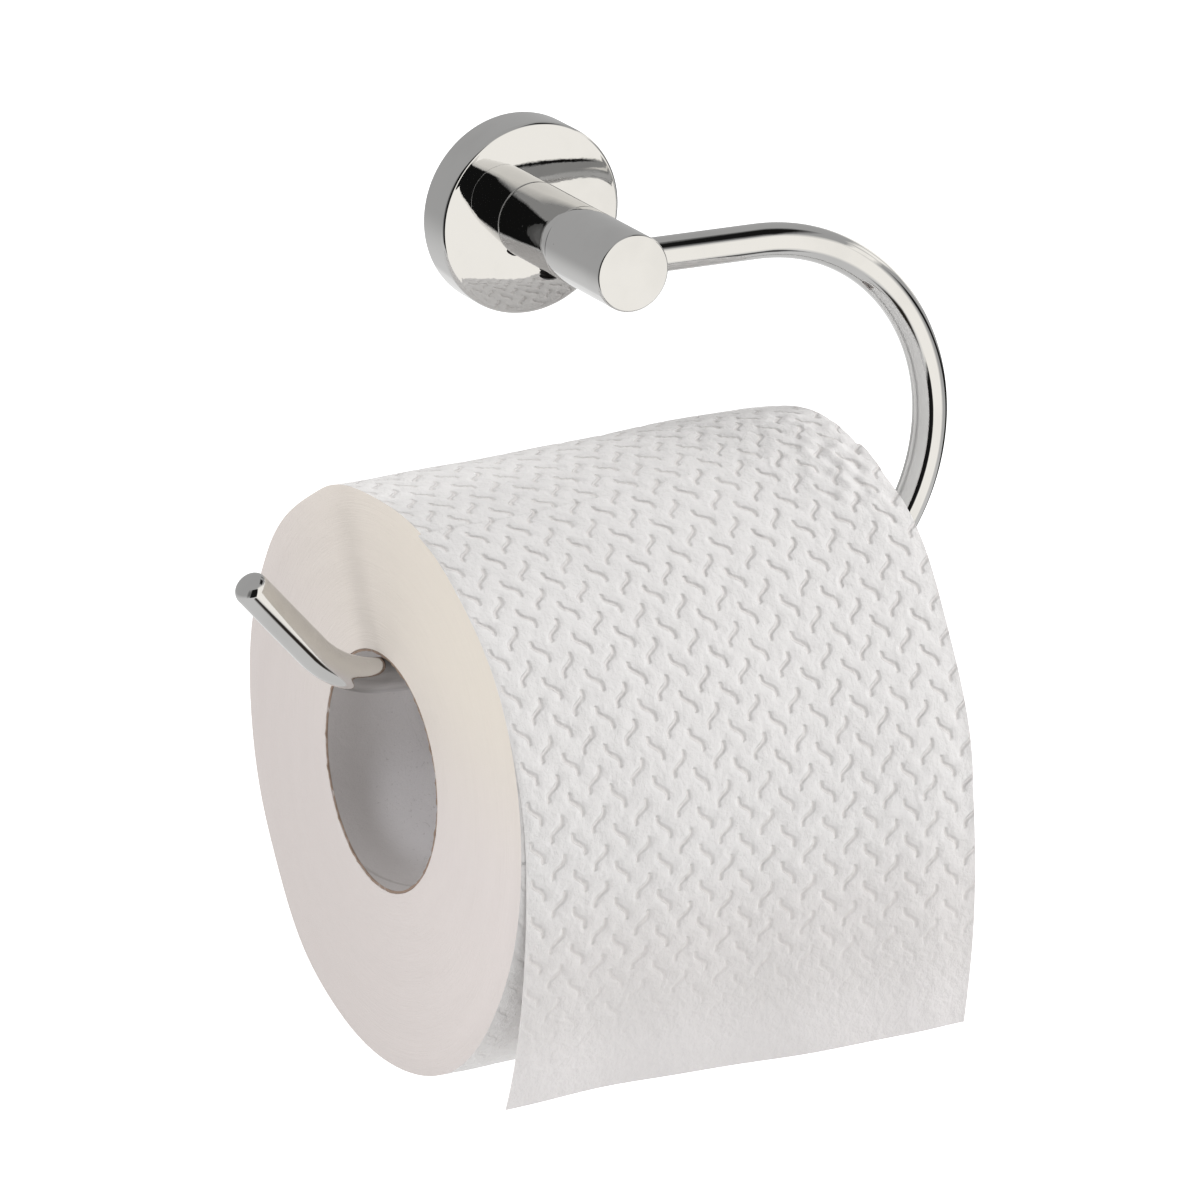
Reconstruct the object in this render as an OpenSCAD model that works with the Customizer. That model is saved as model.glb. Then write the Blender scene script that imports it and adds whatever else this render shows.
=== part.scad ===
// Wall-mounted toilet paper holder with an open-ended hanger rod, shown with a roll on it.
// Millimetres, +Z up. The origin is the centre of the flange's back, on the wall. The wall is
// the plane y = 0, and the post stands out of it towards -Y. The hanger rod lies in a plane
// parallel to the wall: out of the post to +X, round a big bend, back through the roll's core
// towards -X and up at its free end.

/* [Wall flange] */
// Outer diameter of the flange cover
flange_d = 40.5; // [37:0.5:60]
// Height of the flange cover, from the wall to its front face
flange_h = 8.7; // [8:0.1:14]
// Sheet thickness of the pressed flange cover
cover_wall = 0.9; // [0.6:0.1:1.2]
// Radius of the flange cover's rounded front edge
flange_edge_r = 1.3; // [1.3:0.1:3]

/* [Wall bracket] */
// Thickness of the plate that is screwed to the wall
plate_t = 3; // [2:0.1:4]
// Diameter of the two holes for wall screws
wall_hole_d = 4.6; // [3.5:0.1:5]
// Distance between the two holes for wall screws
wall_hole_spacing = 25; // [24:0.5:27]
// Gap all round between the bracket's plate and the inside of the cover
plate_gap = 0.3; // [0.1:0.05:0.6]
// Gap all round between the bracket's stub and the post's sleeve
stub_gap = 0.12; // [0.05:0.01:0.3]

/* [Post] */
// Diameter of the post
post_d = 16; // [15:0.5:20]
// Length of the sleeve, from the flange's front face to the seam with the head
sleeve_l = 20.5; // [18:0.5:40]
// Wall thickness of the sleeve
sleeve_wall = 1.4; // [1.2:0.1:2]
// Thickness of the sleeve's closed end, which the head is screwed to
sleeve_end_t = 3; // [2:0.1:4]
// Length of the solid head that holds the rod
head_l = 22.3; // [20:0.1:32]
// Radius of the rounded edge at the head's front face
head_edge_r = 0.5; // [0.2:0.1:2]
// Width of the fine chamfers that make the seam between sleeve and head
seam_chamfer = 0.15; // [0.05:0.05:0.5]

/* [Screws] */
// Diameter of the black set screw under the post
set_screw_d = 4; // [3:0.5:5]
// Distance of the set screw from the flange's front face
set_screw_back = 7.6; // [6:0.1:9]
// How far the set screw stands out of the post
set_screw_out = 2.3; // [0.5:0.1:4]
// Depth of the groove in the bracket's stub that the set screw bites into
groove_depth = 0.8; // [0.3:0.1:1.5]
// Thread diameter of the screws inside the head
head_screw_d = 5; // [4:0.5:6]
// Diameter of the head screw's own head
head_screw_head_d = 8.5; // [7:0.5:9.5]
// Height of the head screw's own head
head_screw_head_h = 2.6; // [2:0.1:4]
// Length of the grub screw that locks the rod
lock_screw_l = 3.5; // [3:0.1:5]
// Radial gap drawn between a screw and its thread, and between the rod and its hole
fit_gap = 0.05; // [0.02:0.01:0.1]

/* [Hanger rod] */
// Diameter of the rod
rod_d = 7.2; // [5:0.1:9]
// Distance of the rod's axis from the head's front face
rod_setback = 9.9; // [8:0.1:11]
// Length of rod inside the head past the post's axis
rod_tail = 5; // [3:0.1:6]
// Length of the upper arm, from the post's axis to the big bend
arm_l = 33.3; // [25:0.1:60]
// Centre-line radius of the big bend
bend_r = 42; // [38:0.5:60]
// Angle by which the lower arm rises towards its free end
arm_rise = 3; // [1:0.5:6]
// Centre-line radius of the bend before the tip
tip_bend_r = 22.5; // [12:0.5:40]
// Angle of the bend before the tip
tip_turn = 45; // [20:1:70]
// Length of the straight tip
tip_l = 21; // [12:0.5:40]
// Radius of the tip's rounded end
tip_round = 2.4; // [0.5:0.1:2.4]
// Depth of the flat on the rod that the lock screw presses on
rod_flat = 0.5; // [0.2:0.1:1]

/* [Paper roll] */
// Outer diameter of the paper roll
roll_d = 120; // [90:1:130]
// Width of the paper roll
roll_w = 101; // [90:1:115]
// How far the roll reaches past the start of the big bend
roll_past_bend = 17.7; // [5:0.1:22]
// Inner diameter of the cardboard core
core_d = 48.6; // [38:0.1:52]
// Thickness of the cardboard core
core_wall = 0.5; // [0.4:0.1:1.5]
// Gap between the core's inside and the rod it hangs on
seat_gap = 0.2; // [0.1:0.05:0.4]
// Thickness of the loose outer sheet
sheet_t = 0.6; // [0.4:0.1:1.2]
// Gap between the loose sheet and the roll, and between the roll and its core
paper_gap = 0.05; // [0.02:0.01:0.2]
// How far down the roll's front the loose sheet starts, measured along the paper from the top
tail_start = 15; // [0:1:60]
// How far the loose sheet hangs below the height of the roll's axis
tail_hang = 55; // [20:1:70]
// Radius of the curl of the hanging sheet
tail_curl_r = 147; // [100:1:400]

/* [Hidden] */
$fn = 96;
socket_share = 0.575;      // width across corners of a hex socket, as a share of its screw
socket_depth_share = 0.5;  // depth of a hex socket, as a share of its screw's diameter
spigot_wall = 0.8;         // sleeve wall where it passes through the cover
lip_w = 0.8;               // width of the lip that is rolled over behind the cover
lip_t = 0.5;               // thickness of that lip
boss_step = 2;             // radius that the bracket's boss adds to its stub
screw_play = 0.3;          // gap of the head screw in the hole of the sleeve's end
end_play = 0.4;            // gap between pieces that follow each other inside the post
tip_chamfer = 0.6;         // chamfer at the tips of the screws
fuse_lap = 0.05;           // how far a straight of the rod reaches into the bends beside it
fuse_step = 0.04;          // how much thinner the straights are than the bends they run into
cut = 1;                   // how far a cutter reaches past what it cuts

post_r = post_d / 2;
rod_r = rod_d / 2;
seam_z = flange_h + sleeve_l;
front_z = seam_z + head_l;
rod_z = front_z - rod_setback;
sleeve_bore_r = post_r - sleeve_wall;
spigot_r = sleeve_bore_r + spigot_wall;
plate_r = flange_d / 2 - cover_wall - plate_gap;
stub_r = sleeve_bore_r - stub_gap;
set_screw_z = flange_h + set_screw_back;
sleeve_end_z = seam_z - sleeve_end_t;
head_screw_top_z = sleeve_end_z - head_screw_head_h;
stub_end_z = head_screw_top_z - end_play;
rod_flat_z = rod_z - rod_r + rod_flat;
lock_screw_z = rod_flat_z - fit_gap - lock_screw_l;
head_screw_tip_z = lock_screw_z - end_play;

// The rod's path lies in its own plane: x is to the right and y is up. It turns clockwise all
// the way, from heading +X at the post to heading up and left at the tip.
bend_turn = 180 + arm_rise;
arm_heading = -bend_turn;
tip_heading = arm_heading - tip_turn;
bend_centre = [arm_l, -bend_r];
bend_end = bend_centre + bend_r * normal_of(arm_heading);
roll_right = arm_l + roll_past_bend;
roll_left = roll_right - roll_w;
grip_l = (bend_end.x - roll_left) / cos(arm_rise);
grip_end = bend_end + grip_l * along_of(arm_heading);
tip_bend_centre = grip_end - tip_bend_r * normal_of(arm_heading);
tip_start = tip_bend_centre + tip_bend_r * normal_of(tip_heading);

// The core hangs on the rod's top at the roll's two faces, whichever is higher.
arm_top_y = grip_end.y + rod_r / cos(arm_rise);
bend_top_y = -bend_r - sqrt(pow(bend_r - rod_r, 2) - pow(roll_past_bend, 2));
core_r = core_d / 2;
roll_r = roll_d / 2;
sheet_r = roll_r - sheet_t;
wound_r = sheet_r - paper_gap;
roll_y = max(arm_top_y, bend_top_y) + seat_gap - core_r;

// Unit vector along a heading, in the rod's plane.
function along_of(heading) = [cos(heading), sin(heading)];

// Unit vector from a clockwise bend's centre to the path, where the path has this heading.
function normal_of(heading) = [-sin(heading), cos(heading)];

// Turns a shape drawn round the post's axis: x stays, y becomes up, z becomes out of the wall.
module out_of_wall() {
    rotate([90, 0, 0]) children();
}

// Half profile of a disc or tube end with one rounded corner at its top edge.
module rounded_profile(r, h, edge_r) {
    square([r - edge_r, h]);
    square([r, h - edge_r]);
    translate([r - edge_r, h - edge_r]) intersection() {
        circle(edge_r);
        square(edge_r);
    }
}

// Hex socket cut into the end of a screw that stands on z = 0 and is open at z = 0.
module hex_socket(screw_d) {
    translate([0, 0, -cut])
        cylinder(d = screw_d * socket_share, h = cut + screw_d * socket_depth_share, $fn = 6);
}

// Headless screw from z = 0, with its socket, to its chamfered tip at z = l.
module grub_screw(d, l) {
    difference() {
        union() {
            cylinder(d = d, h = l - tip_chamfer);
            translate([0, 0, l - tip_chamfer]) cylinder(d1 = d, d2 = d - 2 * tip_chamfer, h = tip_chamfer);
        }
        hex_socket(d);
    }
}

// Plate on the wall with the stub that carries the post.
module wall_bracket() {
    boss_top_z = flange_h - cover_wall - lip_t - end_play;
    color("darkgray") out_of_wall() difference() {
        union() {
            cylinder(r = plate_r, h = plate_t);
            cylinder(r1 = stub_r + boss_step, r2 = stub_r + boss_step / 2, h = boss_top_z);
            cylinder(r = stub_r, h = stub_end_z);
        }
        for (side = [-1, 1])
            translate([side * wall_hole_spacing / 2, 0, -cut])
                cylinder(d = wall_hole_d, h = plate_t + 2 * cut);
        translate([0, 0, set_screw_z]) stub_groove();
    }
}

// Ring cut round the stub, as wide as the set screw at its floor and wider at its mouth.
module stub_groove() {
    floor_w = set_screw_d / 2 + fit_gap;
    mouth_w = floor_w + groove_depth;
    rotate_extrude() polygon([
        [stub_r - groove_depth, -floor_w],
        [stub_r + cut, -mouth_w - cut],
        [stub_r + cut, mouth_w + cut],
        [stub_r - groove_depth, floor_w]
    ]);
}

// Chromed cup over the bracket, open towards the wall.
module flange_cover() {
    inner_r = flange_d / 2 - cover_wall;
    color("gainsboro") out_of_wall() rotate_extrude() difference() {
        rounded_profile(flange_d / 2, flange_h, flange_edge_r);
        translate([0, -cut])
            rounded_profile(inner_r, flange_h - cover_wall + cut, flange_edge_r - cover_wall);
        square([spigot_r + fit_gap, flange_h + cut]);
    }
}

// Sleeve of the post: a tube with a closed outer end, rolled over behind the cover.
module post_sleeve() {
    lip_z = flange_h - cover_wall - lip_t;
    color("gainsboro") out_of_wall() difference() {
        rotate_extrude() difference() {
            union() {
                polygon([
                    [0, flange_h], [post_r, flange_h], [post_r, seam_z - seam_chamfer],
                    [post_r - seam_chamfer, seam_z], [0, seam_z]
                ]);
                translate([0, lip_z]) square([spigot_r, flange_h - lip_z]);
                translate([0, lip_z]) square([spigot_r + lip_w, lip_t]);
            }
            translate([0, lip_z - cut]) square([sleeve_bore_r, sleeve_end_z - lip_z + cut]);
            square([head_screw_d / 2 + screw_play, seam_z + cut]);
        }
        translate([0, 0, set_screw_z]) rotate([90, 0, 0])
            cylinder(d = set_screw_d + 2 * fit_gap, h = post_r + cut);
    }
}

// Black grub screw that comes up from below and clamps the sleeve on the stub.
module set_screw() {
    screw_l = post_r + set_screw_out - (stub_r - groove_depth) - fit_gap;
    color("dimgray") out_of_wall() translate([0, -post_r - set_screw_out, set_screw_z]) rotate([-90, 0, 0])
        grub_screw(set_screw_d, screw_l);
}

// Solid head of the post, with the cross hole that takes the rod's end.
module post_head() {
    color("gainsboro") out_of_wall() difference() {
        translate([0, 0, seam_z]) rotate_extrude() difference() {
            rounded_profile(post_r, head_l, head_edge_r);
            polygon([
                [post_r - seam_chamfer, 0], [post_r + cut, -cut],
                [post_r + cut, seam_chamfer + cut], [post_r, seam_chamfer]
            ]);
        }
        translate([-rod_tail - end_play, 0, rod_z]) rotate([0, 90, 0])
            cylinder(r = rod_r + fit_gap, h = rod_tail + end_play + post_r + cut);
        translate([0, 0, seam_z - cut]) cylinder(d = head_screw_d + 2 * fit_gap, h = rod_z - seam_z + cut);
    }
}

// Screw inside the sleeve that holds the head on.
module head_screw() {
    color("silver") out_of_wall() difference() {
        union() {
            translate([0, 0, head_screw_top_z]) cylinder(d = head_screw_head_d, h = head_screw_head_h);
            translate([0, 0, sleeve_end_z])
                cylinder(d = head_screw_d, h = head_screw_tip_z - sleeve_end_z - tip_chamfer);
            translate([0, 0, head_screw_tip_z - tip_chamfer])
                cylinder(d1 = head_screw_d, d2 = head_screw_d - 2 * tip_chamfer, h = tip_chamfer);
        }
        translate([0, 0, head_screw_top_z]) hex_socket(head_screw_d);
    }
}

// Grub screw in the head that presses on the rod's flat.
module rod_lock_screw() {
    color("dimgray") out_of_wall() translate([0, 0, lock_screw_z]) grub_screw(head_screw_d, lock_screw_l);
}

// Places a shape drawn along +Z at a point of the rod's plane, turned to a heading. It starts a
// hair early, so that it fuses with the bend behind it.
module along_rod(start, heading) {
    translate([start.x, start.y, 0]) rotate([0, 0, heading]) translate([-fuse_lap, 0, 0]) rotate([0, 90, 0])
        children();
}

// Straight length of rod, which reaches a hair into the bends at both its ends.
module rod_straight(start, heading, l) {
    along_rod(start, heading) cylinder(r = rod_r - fuse_step, h = l + 2 * fuse_lap);
}

// Clockwise bend of the rod that ends at a heading.
module rod_bend(centre, r, end_heading, turn) {
    translate([centre.x, centre.y, 0]) rotate([0, 0, end_heading + 90]) rotate_extrude(angle = turn)
        translate([r, 0]) circle(rod_r);
}

// One bent rod: into the head, out to the right, round, back through the core and up.
module hanger_rod() {
    color("gainsboro") out_of_wall() translate([0, 0, rod_z]) difference() {
        union() {
            rod_straight([-rod_tail, 0], 0, rod_tail + arm_l);
            rod_bend(bend_centre, bend_r, arm_heading, bend_turn);
            rod_straight(bend_end, arm_heading, grip_l);
            rod_bend(tip_bend_centre, tip_bend_r, tip_heading, tip_turn);
            along_rod(tip_start, tip_heading) rotate_extrude()
                rounded_profile(rod_r - fuse_step, tip_l + fuse_lap, tip_round);
        }
        translate([0, 0, -rod_r - cut]) linear_extrude(cut + rod_flat)
            square(head_screw_d + 2 * end_play, center = true);
    }
}

// Turns a shape drawn round the roll's axis from its left face: x is towards the wall and y is up.
module round_roll() {
    translate([roll_left, -rod_z, roll_y]) rotate([90, 0, 90]) children();
}

// Cardboard core.
module core_tube() {
    color("rosybrown") round_roll() difference() {
        cylinder(r = core_r + core_wall, h = roll_w);
        translate([0, 0, -cut]) cylinder(r = core_r, h = roll_w + 2 * cut);
    }
}

// Wound paper.
module paper_roll() {
    color("white") round_roll() difference() {
        cylinder(r = wound_r, h = roll_w);
        translate([0, 0, -cut]) cylinder(r = core_r + core_wall + paper_gap, h = roll_w + 2 * cut);
    }
}

// Outer sheet: down the front of the roll, then hanging free with a slight inward curl.
module paper_tail() {
    wrap_angle = 90 - tail_start / roll_r * 180 / PI;
    hang_angle = asin(tail_hang / tail_curl_r);
    color("white") round_roll() {
        rotate([0, 0, 180]) rotate_extrude(angle = -wrap_angle)
            translate([sheet_r, 0]) square([sheet_t, roll_w]);
        translate([tail_curl_r - roll_r, 0, 0]) rotate([0, 0, 180]) rotate_extrude(angle = hang_angle)
            translate([tail_curl_r - sheet_t, 0]) square([sheet_t, roll_w]);
    }
}

wall_bracket();
flange_cover();
post_sleeve();
set_screw();
post_head();
head_screw();
rod_lock_screw();
hanger_rod();
core_tube();
paper_roll();
paper_tail();
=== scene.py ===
# %% [markdown]
# # A wall-mounted toilet paper holder
# A chromed flange sits on the wall, a short round post stands out of it, and one bent rod
# leaves the post to the right, swings down and comes back through the core of a paper roll.
# The engineering model gives every size and place. This lesson puts finished surfaces
# around it: mirror chrome, a blackened screw, cardboard and soft embossed tissue.

# %% Load the fixed model
import math

import bmesh
import bpy
import numpy as np
from mathutils import Matrix, Vector


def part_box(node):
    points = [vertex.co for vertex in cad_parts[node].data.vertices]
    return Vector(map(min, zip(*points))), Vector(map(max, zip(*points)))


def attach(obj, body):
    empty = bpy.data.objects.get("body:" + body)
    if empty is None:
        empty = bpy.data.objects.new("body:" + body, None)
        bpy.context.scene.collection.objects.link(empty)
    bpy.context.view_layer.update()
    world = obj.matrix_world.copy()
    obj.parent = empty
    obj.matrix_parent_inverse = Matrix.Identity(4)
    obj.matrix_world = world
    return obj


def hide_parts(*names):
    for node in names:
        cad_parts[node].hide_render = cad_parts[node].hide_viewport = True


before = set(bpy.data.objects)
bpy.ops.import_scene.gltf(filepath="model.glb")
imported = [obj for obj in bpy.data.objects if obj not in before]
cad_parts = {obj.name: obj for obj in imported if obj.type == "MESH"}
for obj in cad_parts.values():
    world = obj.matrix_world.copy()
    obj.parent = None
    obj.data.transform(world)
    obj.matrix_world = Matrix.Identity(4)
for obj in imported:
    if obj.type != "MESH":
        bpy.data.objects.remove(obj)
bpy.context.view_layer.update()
MM = 0.001

# %% Sizes that the model already has
flange_low, flange_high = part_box("flange_cover")
FLANGE_R = flange_high.x
FLANGE_FRONT = flange_low.y
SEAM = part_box("post_sleeve")[0].y
head_low, head_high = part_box("post_head")
POST_R = head_high.x
POST_FRONT = head_low.y
core_low, core_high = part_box("core_tube")
ROLL_Y, ROLL_Z = (core_low.y + core_high.y) / 2, (core_low.z + core_high.z) / 2
ROLL_LEFT, ROLL_RIGHT = core_low.x, core_high.x
print("roll axis at y", round(ROLL_Y * 1000, 2), "z", round(ROLL_Z * 1000, 2))

# %% [markdown]
# ## The camera
# A long lens from well back keeps the round parts round. The camera stands to the left and a
# little above, so the flange, the post and the open end of the rod are all in view. Its
# place is found from its angles: it looks at one point and stands off along the line of sight.

# %% Camera
AZIMUTH, ELEVATION, ROLL = -28.6, 18.77, 1.07
DISTANCE, LENS, FILM_WIDTH = 1.626, 240, 36
LOOKED_AT = Vector((4.7, -31.6, -75.0)) * MM


def look_matrix(azimuth, elevation, roll):
    """Axes of a camera that looks along +Y at azimuth 0: right, up and back as columns."""
    a, e, r = map(math.radians, (azimuth, elevation, roll))
    back = Vector((math.sin(a) * math.cos(e), -math.cos(a) * math.cos(e), math.sin(e)))
    right = Vector((math.cos(a), math.sin(a), 0))
    up = back.cross(right)
    rolled = math.cos(r) * right + math.sin(r) * up
    return Matrix((rolled, back.cross(rolled), back)).transposed()


axes = look_matrix(AZIMUTH, ELEVATION, ROLL)
camera_data = bpy.data.cameras.new("camera")
camera_data.lens, camera_data.sensor_width = LENS, FILM_WIDTH
camera = bpy.data.objects.new("camera", camera_data)
camera.matrix_world = Matrix.Translation(LOOKED_AT + axes @ Vector((0, 0, DISTANCE))) @ axes.to_4x4()
bpy.context.scene.collection.objects.link(camera)
bpy.context.scene.camera = camera
print("camera stands at", [round(v, 3) for v in camera.matrix_world.translation])

# %% [markdown]
# ## Small helpers for modelling by hand
# Every piece below is made the way it is done with a mouse: add a primitive, go into edit
# mode, pick faces or edges, and use an operator on them. A mouse picks by clicking. A script
# picks by place, so these helpers select what passes a test.

# %% Picking and editing
def hold(piece):
    """Makes this piece the only selected and the active one."""
    bpy.ops.object.select_all(action="DESELECT")
    piece.select_set(True)
    bpy.context.view_layer.objects.active = piece


def new_piece(name, add, **settings):
    """Adds a primitive with nothing else selected, names it and puts its place in its mesh."""
    bpy.ops.object.select_all(action="DESELECT")
    add(**settings)
    piece = bpy.context.object
    piece.name = piece.data.name = name
    bpy.ops.object.transform_apply(location=True, rotation=True, scale=True)
    return piece


def open_edit(piece, kind="FACE"):
    """Goes into edit mode with nothing selected."""
    hold(piece)
    bpy.ops.object.mode_set(mode="EDIT")
    bpy.ops.mesh.select_mode(type=kind)
    bpy.ops.mesh.select_all(action="DESELECT")


def pick(piece, kind, test):
    """In edit mode, selects the faces or edges that pass a test, and nothing else."""
    bpy.ops.mesh.select_mode(type=kind)
    bpy.ops.mesh.select_all(action="DESELECT")
    mesh = bmesh.from_edit_mesh(piece.data)
    found = [part for part in (mesh.faces if kind == "FACE" else mesh.edges) if test(part)]
    for part in found:
        part.select_set(True)
    mesh.select_flush_mode()
    bmesh.update_edit_mesh(piece.data)


def close_edit(piece, smooth_angle=40):
    """Leaves edit mode with clean outward faces and smooth shading below an angle."""
    bpy.ops.mesh.select_all(action="SELECT")
    bpy.ops.mesh.remove_doubles(threshold=1e-7)
    bpy.ops.mesh.normals_make_consistent(inside=False)
    bpy.ops.object.mode_set(mode="OBJECT")
    hold(piece)
    bpy.ops.object.shade_smooth_by_angle(angle=math.radians(smooth_angle))


def apply_modifier(piece, kind, **settings):
    """Adds a modifier, sets it and applies it."""
    hold(piece)
    modifier = piece.modifiers.new(kind.lower(), kind)
    for key, value in settings.items():
        setattr(modifier, key, value)
    bpy.ops.object.modifier_apply(modifier=modifier.name)


print("helpers for picking and editing are ready")

# %% [markdown]
# ## The flange cover
# The real cover is a pressed brass cup, polished and chromed, with a crisp rounded rim. The
# pressing leaves its face slightly domed, most of all near the rim, and a mirror shows that
# at once: what it reflects is bent, and its foot mirrors the paper below. The face is inset
# ring by ring, and each ring rises a little less than the one outside it.

# %% Flange cup
OUT_OF_WALL = (math.pi / 2, 0, 0)
RIM_ROUND, COVER_WALL = 0.9 * MM, 0.9 * MM
RINGS = 24
RIM_FRONT = FLANGE_FRONT + 0.6 * MM
DOME, FALL_AT_RIM, FALL_FROM = 0.0048, 0.0105, 12.5
LEAN = 0.04
HAIR = 0.1 * MM


def face_slope(radius):
    """Slope of the domed face at a radius in metres, steeper near the rim."""
    return DOME * radius / MM + FALL_AT_RIM * max(radius / MM - FALL_FROM, 0)


def lean_down(piece, leans):
    """Leans towards the floor all corners of a piece whose depth passes a test."""
    for corner in piece.data.vertices:
        if leans(corner.co.y):
            corner.co.y -= LEAN * corner.co.z


cup = new_piece("flange_cup", bpy.ops.mesh.primitive_cylinder_add, vertices=192, radius=FLANGE_R,
                depth=-RIM_FRONT, location=(0, RIM_FRONT / 2, 0), rotation=OUT_OF_WALL)
open_edit(cup)
pick(cup, "FACE", lambda f: f.calc_center_median().y > -HAIR and len(f.verts) > 4)
bpy.ops.mesh.delete(type="ONLY_FACE")
pick(cup, "EDGE", lambda e: all(v.co.y < RIM_FRONT + HAIR for v in e.verts))
bpy.ops.mesh.bevel(offset=RIM_ROUND, segments=8, affect="EDGES")
pick(cup, "FACE", lambda f: len(f.verts) > 4)
face_r = FLANGE_R - RIM_ROUND
ring_w = (face_r - POST_R) / RINGS
rises = [face_slope(face_r - (ring + 0.5) * ring_w) * ring_w for ring in range(RINGS + 1)]
for rise in rises:
    bpy.ops.mesh.inset(thickness=ring_w, depth=rise)
bpy.ops.mesh.delete(type="FACE")
close_edit(cup)
lean_down(cup, lambda y: y < RIM_FRONT + RIM_ROUND + HAIR)
apply_modifier(cup, "SOLIDIFY", thickness=COVER_WALL, offset=-1)
bpy.ops.object.shade_smooth_by_angle(angle=math.radians(40))
print("flange cup", len(cup.data.polygons), "faces")

# %% [markdown]
# ## The post
# The post is a sleeve that slides over the wall bracket and a solid head that holds the rod.
# Both have the same diameter, and two fine chamfers make the hairline between them. A narrow
# ring is inset just inside each bevel, because it keeps the flat face beside it flat in a
# mirror finish.

# %% Sleeve and head
FLAT_RING = 0.15 * MM
GUARD = 0.2 * MM
FOOT_EDGE, SEAM_EDGE, FACE_EDGE = (0.3 * MM, 3), (0.15 * MM, 1), (0.5 * MM, 6)


def post_length(name, back, front, back_edge, front_edge):
    """A turned length of the post; each edge is given by its bevel's width and steps."""
    piece = new_piece(name, bpy.ops.mesh.primitive_cylinder_add, vertices=160, radius=POST_R,
                      depth=back - front, location=(0, (back + front) / 2, 0), rotation=OUT_OF_WALL)
    open_edit(piece)
    for edge_at, (width, steps) in ((back, back_edge), (front, front_edge)):
        pick(piece, "EDGE", lambda e: all(abs(v.co.y - edge_at) < 1e-6 for v in e.verts))
        bpy.ops.mesh.bevel(offset=width, segments=steps, affect="EDGES")
    pick(piece, "FACE", lambda f: len(f.verts) > 4)
    bpy.ops.mesh.inset(thickness=FLAT_RING, use_individual=True)
    for cut_at in (back - back_edge[0] - GUARD, front + front_edge[0] + GUARD):
        bpy.ops.mesh.select_all(action="SELECT")
        bpy.ops.mesh.bisect(plane_co=(0, cut_at, 0), plane_no=(0, 1, 0))
    close_edit(piece)
    return piece


face_at_post = RIM_FRONT - sum(rises[:RINGS])
sleeve = post_length("post_sleeve_shell", face_at_post, SEAM, FOOT_EDGE, SEAM_EDGE)
lean_down(sleeve, lambda y: y > face_at_post - 2 * FOOT_EDGE[0])
head = post_length("post_head_shell", SEAM, POST_FRONT, SEAM_EDGE, FACE_EDGE)
print("sleeve and head", len(sleeve.data.polygons) + len(head.data.polygons), "faces")

# %% [markdown]
# ## The hanger rod
# The real rod is one straight bar bent cold in two places. It is made here the same way: a
# disc is extruded along the upper arm, spun round the big bend, extruded through the core,
# spun round the small bend and extruded to the tip, whose edge is then rounded.

# %% Rod
ROD_R, ROD_Y = 3.6 * MM, ROLL_Y
IN_HEAD, ARM = 5 * MM, 33.3 * MM
BEND_R, BEND_TURN = 42 * MM, 183
GRIP, TIP_BEND_R, TIP_TURN = 81.21 * MM, 22.5 * MM, 45
TIP, TIP_ROUND = 22.2 * MM, 2.4 * MM


def rod_way(heading):
    """Unit vector in the rod's plane; heading 0 is to the right and turns clockwise."""
    a = math.radians(heading)
    return Vector((math.cos(a), 0, -math.sin(a)))


rod = new_piece("hanger_rod_bar", bpy.ops.mesh.primitive_circle_add, vertices=72, radius=ROD_R,
                fill_type="NGON", location=(-IN_HEAD, ROD_Y, 0), rotation=(0, math.pi / 2, 0))
open_edit(rod)
bpy.ops.mesh.select_all(action="SELECT")
at, heading = Vector((-IN_HEAD, ROD_Y, 0)), 0


def run_straight(length):
    """Extrudes the end of the rod along its heading."""
    global at
    step = rod_way(heading) * length
    bpy.ops.mesh.extrude_region_move(TRANSFORM_OT_translate={"value": step})
    at = at + step


def run_bend(radius, turn, steps):
    """Spins the end of the rod clockwise about a centre beside it."""
    global at, heading
    centre = at + rod_way(heading + 90) * radius
    bpy.ops.mesh.spin(steps=steps, angle=math.radians(turn), center=centre, axis=(0, -1, 0))
    heading += turn
    at = centre - rod_way(heading + 90) * radius


run_straight(IN_HEAD + ARM)
run_bend(BEND_R, BEND_TURN, 120)
run_straight(GRIP)
run_bend(TIP_BEND_R, TIP_TURN, 40)
run_straight(TIP)
tip_end = at.copy()
pick(rod, "EDGE", lambda e: all(abs((v.co - tip_end).dot(rod_way(heading))) < 1e-6 for v in e.verts))
bpy.ops.mesh.bevel(offset=TIP_ROUND, segments=12, affect="EDGES")
pick(rod, "FACE", lambda f: len(f.verts) > 4)
bpy.ops.mesh.inset(thickness=FLAT_RING, use_individual=True)
close_edit(rod)
print("rod ends at", [round(v * 1000, 2) for v in tip_end], len(rod.data.polygons), "faces")

# %% [markdown]
# ## The set screw
# A black grub screw comes up from below and clamps the sleeve. About two millimetres of it
# stand out of the post. Its thread is a stack of rings that grow and shrink, which at this
# size reads as a thread, and a six-sided cutter makes the socket for the hex key.

# %% Set screw
screw_low, screw_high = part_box("set_screw")
SCREW_Y = (screw_low.y + screw_high.y) / 2
SCREW_END = screw_low.z
SCREW_R, GROOVE_R, END_R = 2 * MM, 1.7 * MM, 1.45 * MM
PITCH, TURNS = 0.7 * MM, 4
ONE_TURN = ((0.15, SCREW_R), (0.35, GROOVE_R), (0.15, GROOVE_R), (0.35, SCREW_R))
SOCKET_R, SOCKET_DEPTH = 1.15 * MM, 1.2 * MM
screw = new_piece("set_screw_threaded", bpy.ops.mesh.primitive_circle_add, vertices=48, radius=END_R,
                  fill_type="NGON", location=(0, SCREW_Y, SCREW_END))
open_edit(screw)
bpy.ops.mesh.select_all(action="SELECT")


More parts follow.
